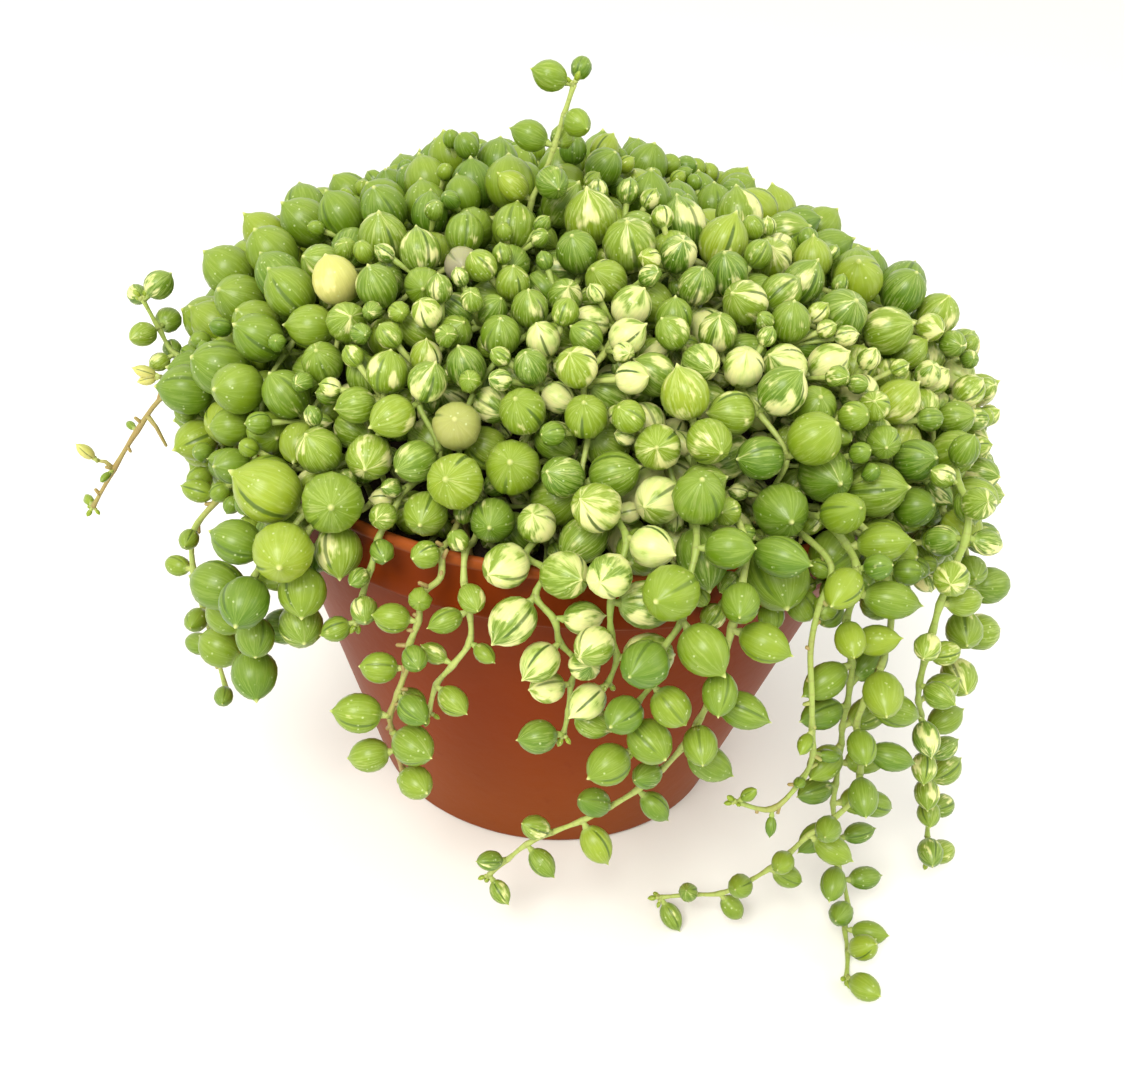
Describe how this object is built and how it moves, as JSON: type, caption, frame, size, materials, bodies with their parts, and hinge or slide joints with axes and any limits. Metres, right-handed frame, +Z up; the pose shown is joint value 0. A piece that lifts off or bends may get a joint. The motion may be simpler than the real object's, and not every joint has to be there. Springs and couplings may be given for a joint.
{
  "type": "potted string of pearls",
  "caption": "Round nursery pot with a mound of trailing succulent stems carrying bead-shaped green and cream leaves that spill over its rim.",
  "frame": {"origin": "centre of the pot's flat underside, where it rests", "axes": "+Z up along the pot's axis, -Y towards the fuller trailing front, +X to the front's right"},
  "size_m": [0.1987, 0.1733, 0.1612],
  "materials": {
    "terracotta_plastic": "thin moulded plastic in terracotta orange, satin, with a paler lip",
    "potting_soil": "damp dark potting soil of fine bark and peat",
    "leaf_green": "smooth waxy fleshy leaf, fresh green with a darker clear window line",
    "leaf_variegated": "smooth waxy fleshy leaf, green marbled with cream"
  },
  "bodies": {
    "root": {"mound_01": "leaf_green", "mound_02": "leaf_green", "mound_03": "leaf_green", "mound_04": "leaf_green", "mound_05": "leaf_green", "mound_06": "leaf_green", "mound_07": "leaf_green", "mound_08": "leaf_green", "mound_09": "leaf_green", "mound_10": "leaf_green", "mound_11": "leaf_green", "mound_12": "leaf_green", "mound_13": "leaf_green", "mound_14": "leaf_green", "mound_15": "leaf_green", "mound_16": "leaf_green", "mound_17": "leaf_green", "mound_18": "leaf_green", "mound_19": "leaf_green", "mound_20": "leaf_green", "mound_21": "leaf_green", "mound_22": "leaf_green", "mound_23": "leaf_green", "mound_24": "leaf_green", "mound_25": "leaf_green", "mound_26": "leaf_green", "mound_27": "leaf_green", "mound_28": "leaf_green", "mound_29": "leaf_green", "mound_30": "leaf_green", "mound_31": "leaf_green", "mound_32": "leaf_green", "mound_33": "leaf_green", "mound_34": "leaf_green", "mound_35": "leaf_green", "mound_36": "leaf_green", "mound_37": "leaf_green", "mound_38": "leaf_green", "mound_39": "leaf_green", "mound_40": "leaf_green", "pot": "terracotta_plastic", "shoot_left_twig": "leaf_green", "shoot_left_up": "leaf_green", "shoot_top": "leaf_variegated", "soil": "potting_soil", "trail_far_right": "leaf_variegated", "trail_far_right_short": "leaf_variegated", "trail_front": "leaf_variegated", "trail_front_left": "leaf_variegated", "trail_front_left_short": "leaf_variegated", "trail_front_left_thin": "leaf_variegated", "trail_front_long": "leaf_variegated", "trail_front_right": "leaf_variegated", "trail_front_spill": "leaf_variegated", "trail_left_cluster": "leaf_variegated", "trail_left_inner": "leaf_variegated", "trail_left_thin": "leaf_variegated", "trail_right_branch": "leaf_variegated", "trail_right_long": "leaf_variegated", "trail_right_tendril": "leaf_variegated"}
  },
  "joints": []
}
